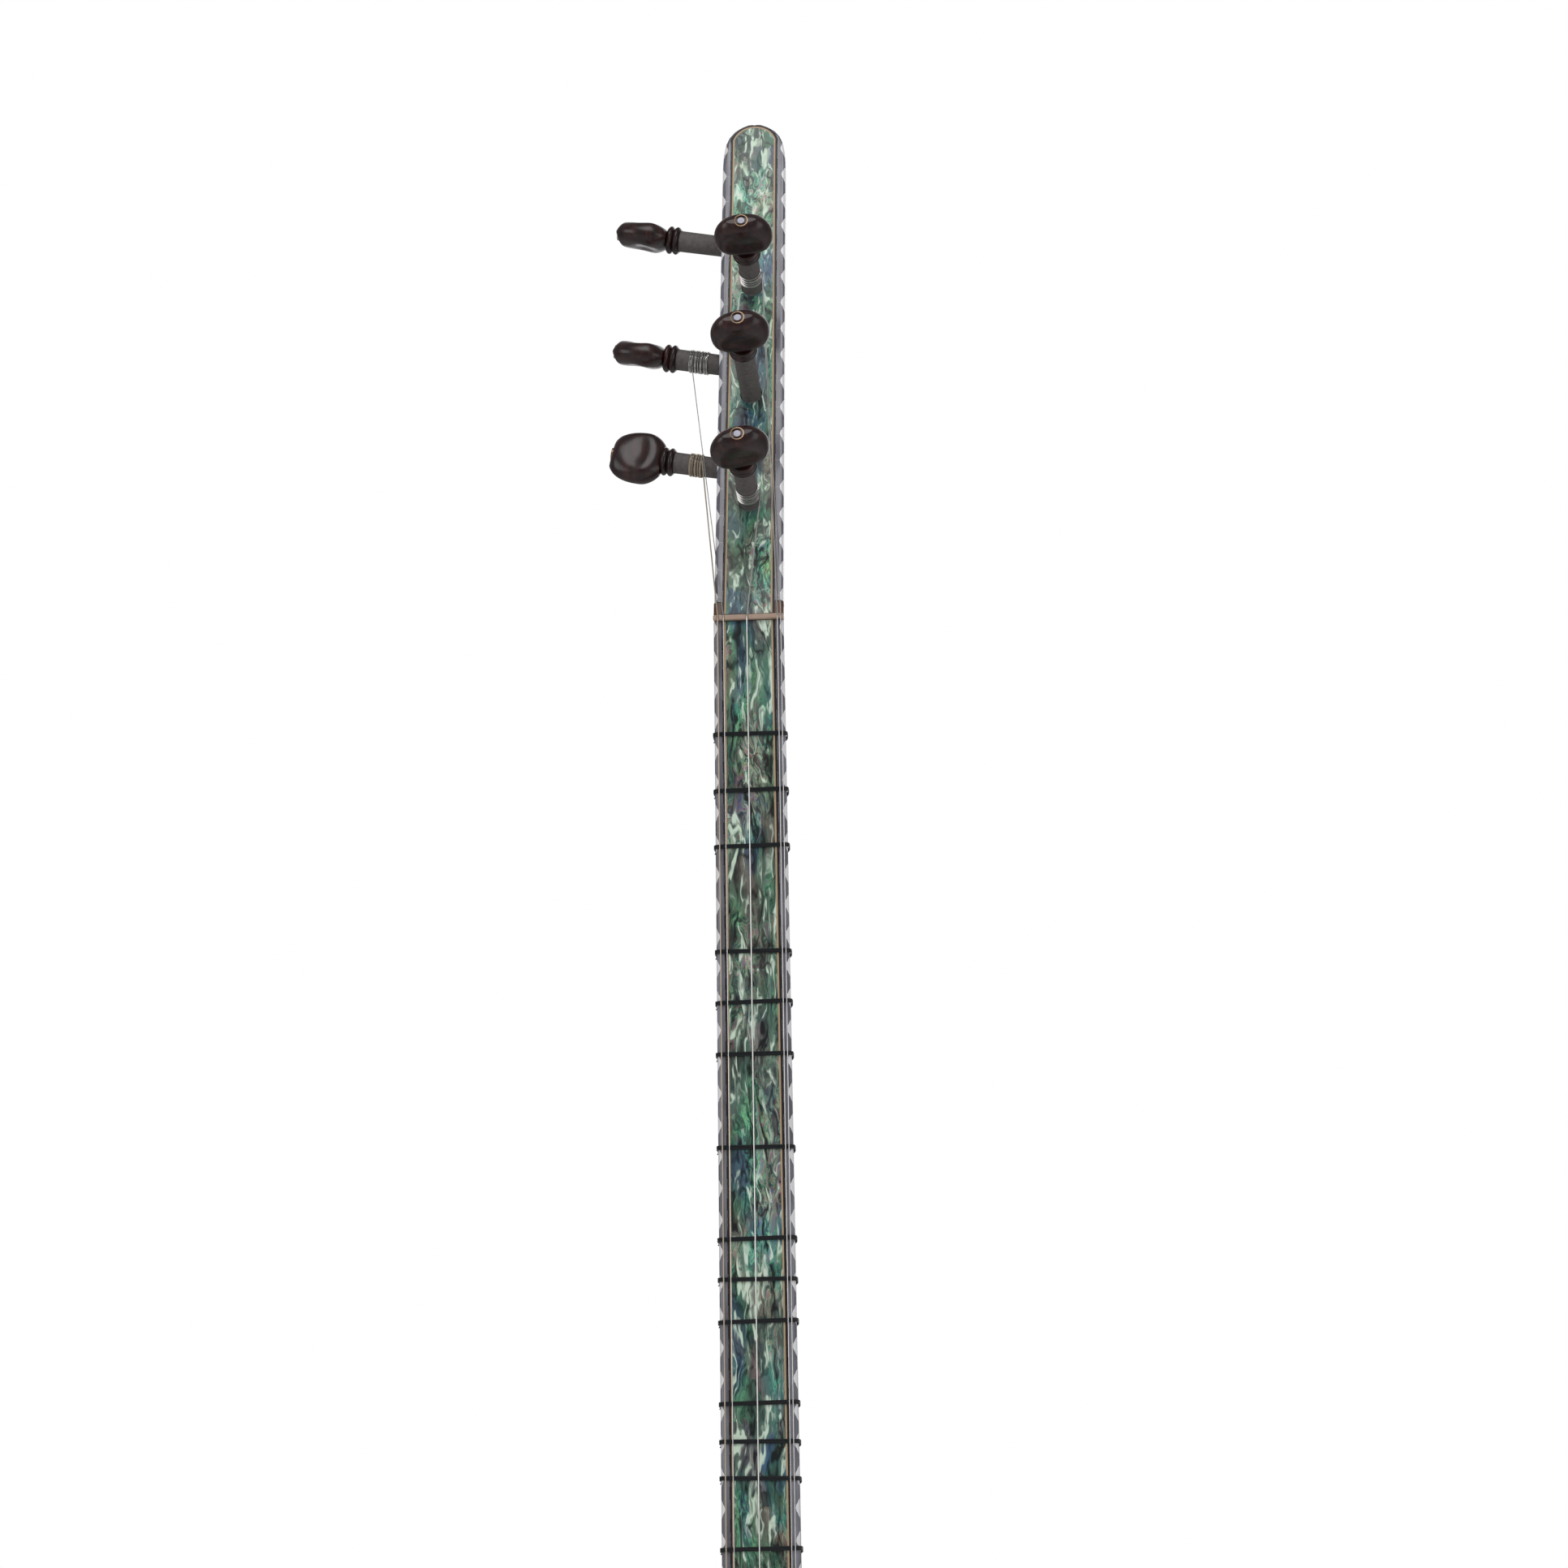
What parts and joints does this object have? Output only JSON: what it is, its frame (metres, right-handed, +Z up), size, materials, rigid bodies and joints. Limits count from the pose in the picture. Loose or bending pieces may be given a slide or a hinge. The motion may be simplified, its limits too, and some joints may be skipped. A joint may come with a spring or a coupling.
{
  "type": "electric long-necked lute",
  "caption": "Long-necked plucked lute with a shell-faced neck, tied frets, friction pegs, a hollow bowl body, a magnetic pickup and an output jack.",
  "frame": {"origin": "on the neck's rounded back, behind the nut, where a hanger carries the instrument", "axes": "+X to the right seen from the front, +Y to the back, +Z up along the neck towards the peghead"},
  "size_m": [0.24, 0.1908, 1.2101],
  "materials": {
    "neck_wood": "oiled",
    "pearl_celluloid": "polished",
    "abalone": "lacquered",
    "bone": "satin",
    "bowl_wood": "lacquered",
    "soundboard_wood": "lacquered",
    "inner_wood": "raw",
    "dark_wood": "oiled",
    "peg_wood": "polished",
    "black_plastic": "satin",
    "steel": "nickel plated",
    "nylon": "tied line",
    "string_steel": "plain wire",
    "lead_jacket": "soft jacket"
  },
  "bodies": {
    "instrument": {"neck": "neck_wood", "fingerboard": "pearl_celluloid", "fingerboard_facing": "abalone", "nut": "bone", "peghead": "pearl_celluloid", "peghead_facing": "abalone", "bowl": "bowl_wood", "soundboard": "soundboard_wood", "neck_block": "inner_wood", "tail_block": "inner_wood", "brace_upper": "inner_wood", "brace_lower": "inner_wood", "bridge": "dark_wood", "string_holder": "dark_wood", "pickup": "black_plastic", "pickup_ring": "black_plastic", "volume_pot": "steel", "tone_pot": "steel", "jack_barrel": "steel", "strap_collar": "steel", "jack_inner_nut": "steel", "pickup_lead": "lead_jacket", "link_lead": "lead_jacket", "output_lead": "lead_jacket", "string_bass": "string_steel", "string_left": "string_steel", "string_middle": "string_steel", "string_right": "string_steel", "string_edge": "string_steel"},
    "front_peg_1": {"front_peg_1": "peg_wood"},
    "front_peg_2": {"front_peg_2": "peg_wood"},
    "front_peg_3": {"front_peg_3": "peg_wood"},
    "side_peg_1": {"side_peg_1": "peg_wood"},
    "side_peg_2": {"side_peg_2": "peg_wood"},
    "side_peg_3": {"side_peg_3": "peg_wood"},
    "volume_knob": {"volume_knob": "black_plastic"},
    "tone_knob": {"tone_knob": "black_plastic"},
    "fret_01": {"fret_01": "nylon"},
    "fret_02": {"fret_02": "nylon"},
    "fret_03": {"fret_03": "nylon"},
    "fret_04": {"fret_04": "nylon"},
    "fret_05": {"fret_05": "nylon"},
    "fret_06": {"fret_06": "nylon"},
    "fret_07": {"fret_07": "nylon"},
    "fret_08": {"fret_08": "nylon"},
    "fret_09": {"fret_09": "nylon"},
    "fret_10": {"fret_10": "nylon"},
    "fret_11": {"fret_11": "nylon"},
    "fret_12": {"fret_12": "nylon"},
    "fret_13": {"fret_13": "nylon"},
    "fret_14": {"fret_14": "nylon"},
    "fret_15": {"fret_15": "nylon"},
    "fret_16": {"fret_16": "nylon"},
    "fret_17": {"fret_17": "nylon"},
    "fret_18": {"fret_18": "nylon"},
    "fret_19": {"fret_19": "nylon"},
    "fret_20": {"fret_20": "nylon"},
    "fret_21": {"fret_21": "nylon"},
    "fret_22": {"fret_22": "nylon"},
    "fret_23": {"fret_23": "nylon"}
  },
  "joints": [
    {"name": "front_peg_1_turn", "type": "hinge", "parent": "instrument", "child": "front_peg_1", "pos_m": [0, 0.01914, 0.15602], "axis": [0, -0.9664, 0.2571], "continuous": true},
    {"name": "front_peg_2_turn", "type": "hinge", "parent": "instrument", "child": "front_peg_2", "pos_m": [0, 0.00541, 0.10442], "axis": [0, -0.9664, 0.2571], "continuous": true},
    {"name": "front_peg_3_turn", "type": "hinge", "parent": "instrument", "child": "front_peg_3", "pos_m": [0, -0.00814, 0.05349], "axis": [0, -0.9664, 0.2571], "continuous": true},
    {"name": "side_peg_1_turn", "type": "hinge", "parent": "instrument", "child": "side_peg_1", "pos_m": [-0.01371, 0.03631, 0.1797], "axis": [-0.982, 0.0486, 0.1827], "continuous": true},
    {"name": "side_peg_2_turn", "type": "hinge", "parent": "instrument", "child": "side_peg_2", "pos_m": [-0.01393, 0.02096, 0.12201], "axis": [-0.982, 0.0486, 0.1827], "continuous": true},
    {"name": "side_peg_3_turn", "type": "hinge", "parent": "instrument", "child": "side_peg_3", "pos_m": [-0.01412, 0.00784, 0.07272], "axis": [-0.982, 0.0486, 0.1827], "continuous": true},
    {"name": "volume_turn", "type": "hinge", "parent": "instrument", "child": "volume_knob", "pos_m": [0.068, -0.018, -0.79], "axis": [0, -1, 0], "range_deg": [-150, 150]},
    {"name": "tone_turn", "type": "hinge", "parent": "instrument", "child": "tone_knob", "pos_m": [0.068, -0.018, -0.88], "axis": [0, -1, 0], "range_deg": [-150, 150]},
    {"name": "fret_01_shift", "type": "slide", "parent": "instrument", "child": "fret_01", "axis": [0, 0, 1], "range_m": [-0.003, 0.003]},
    {"name": "fret_02_shift", "type": "slide", "parent": "instrument", "child": "fret_02", "axis": [0, 0, 1], "range_m": [-0.003, 0.003]},
    {"name": "fret_03_shift", "type": "slide", "parent": "instrument", "child": "fret_03", "axis": [0, 0, 1], "range_m": [-0.003, 0.003]},
    {"name": "fret_04_shift", "type": "slide", "parent": "instrument", "child": "fret_04", "axis": [0, 0, 1], "range_m": [-0.003, 0.003]},
    {"name": "fret_05_shift", "type": "slide", "parent": "instrument", "child": "fret_05", "axis": [0, 0, 1], "range_m": [-0.003, 0.003]},
    {"name": "fret_06_shift", "type": "slide", "parent": "instrument", "child": "fret_06", "axis": [0, 0, 1], "range_m": [-0.003, 0.003]},
    {"name": "fret_07_shift", "type": "slide", "parent": "instrument", "child": "fret_07", "axis": [0, 0, 1], "range_m": [-0.003, 0.003]},
    {"name": "fret_08_shift", "type": "slide", "parent": "instrument", "child": "fret_08", "axis": [0, 0, 1], "range_m": [-0.003, 0.003]},
    {"name": "fret_09_shift", "type": "slide", "parent": "instrument", "child": "fret_09", "axis": [0, 0, 1], "range_m": [-0.003, 0.003]},
    {"name": "fret_10_shift", "type": "slide", "parent": "instrument", "child": "fret_10", "axis": [0, 0, 1], "range_m": [-0.003, 0.003]},
    {"name": "fret_11_shift", "type": "slide", "parent": "instrument", "child": "fret_11", "axis": [0, 0, 1], "range_m": [-0.003, 0.003]},
    {"name": "fret_12_shift", "type": "slide", "parent": "instrument", "child": "fret_12", "axis": [0, 0, 1], "range_m": [-0.003, 0.003]},
    {"name": "fret_13_shift", "type": "slide", "parent": "instrument", "child": "fret_13", "axis": [0, 0, 1], "range_m": [-0.003, 0.003]},
    {"name": "fret_14_shift", "type": "slide", "parent": "instrument", "child": "fret_14", "axis": [0, 0, 1], "range_m": [-0.003, 0.003]},
    {"name": "fret_15_shift", "type": "slide", "parent": "instrument", "child": "fret_15", "axis": [0, 0, 1], "range_m": [-0.003, 0.003]},
    {"name": "fret_16_shift", "type": "slide", "parent": "instrument", "child": "fret_16", "axis": [0, 0, 1], "range_m": [-0.003, 0.003]},
    {"name": "fret_17_shift", "type": "slide", "parent": "instrument", "child": "fret_17", "axis": [0, 0, 1], "range_m": [-0.003, 0.003]},
    {"name": "fret_18_shift", "type": "slide", "parent": "instrument", "child": "fret_18", "axis": [0, 0, 1], "range_m": [-0.003, 0.003]},
    {"name": "fret_19_shift", "type": "slide", "parent": "instrument", "child": "fret_19", "axis": [0, 0, 1], "range_m": [-0.003, 0.003]},
    {"name": "fret_20_shift", "type": "slide", "parent": "instrument", "child": "fret_20", "axis": [0, 0, 1], "range_m": [-0.003, 0.003]},
    {"name": "fret_21_shift", "type": "slide", "parent": "instrument", "child": "fret_21", "axis": [0, 0, 1], "range_m": [-0.003, 0.003]},
    {"name": "fret_22_shift", "type": "slide", "parent": "instrument", "child": "fret_22", "axis": [0, 0, 1], "range_m": [-0.003, 0.003]},
    {"name": "fret_23_shift", "type": "slide", "parent": "instrument", "child": "fret_23", "axis": [0, 0, 1], "range_m": [-0.003, 0.003]}
  ]
}
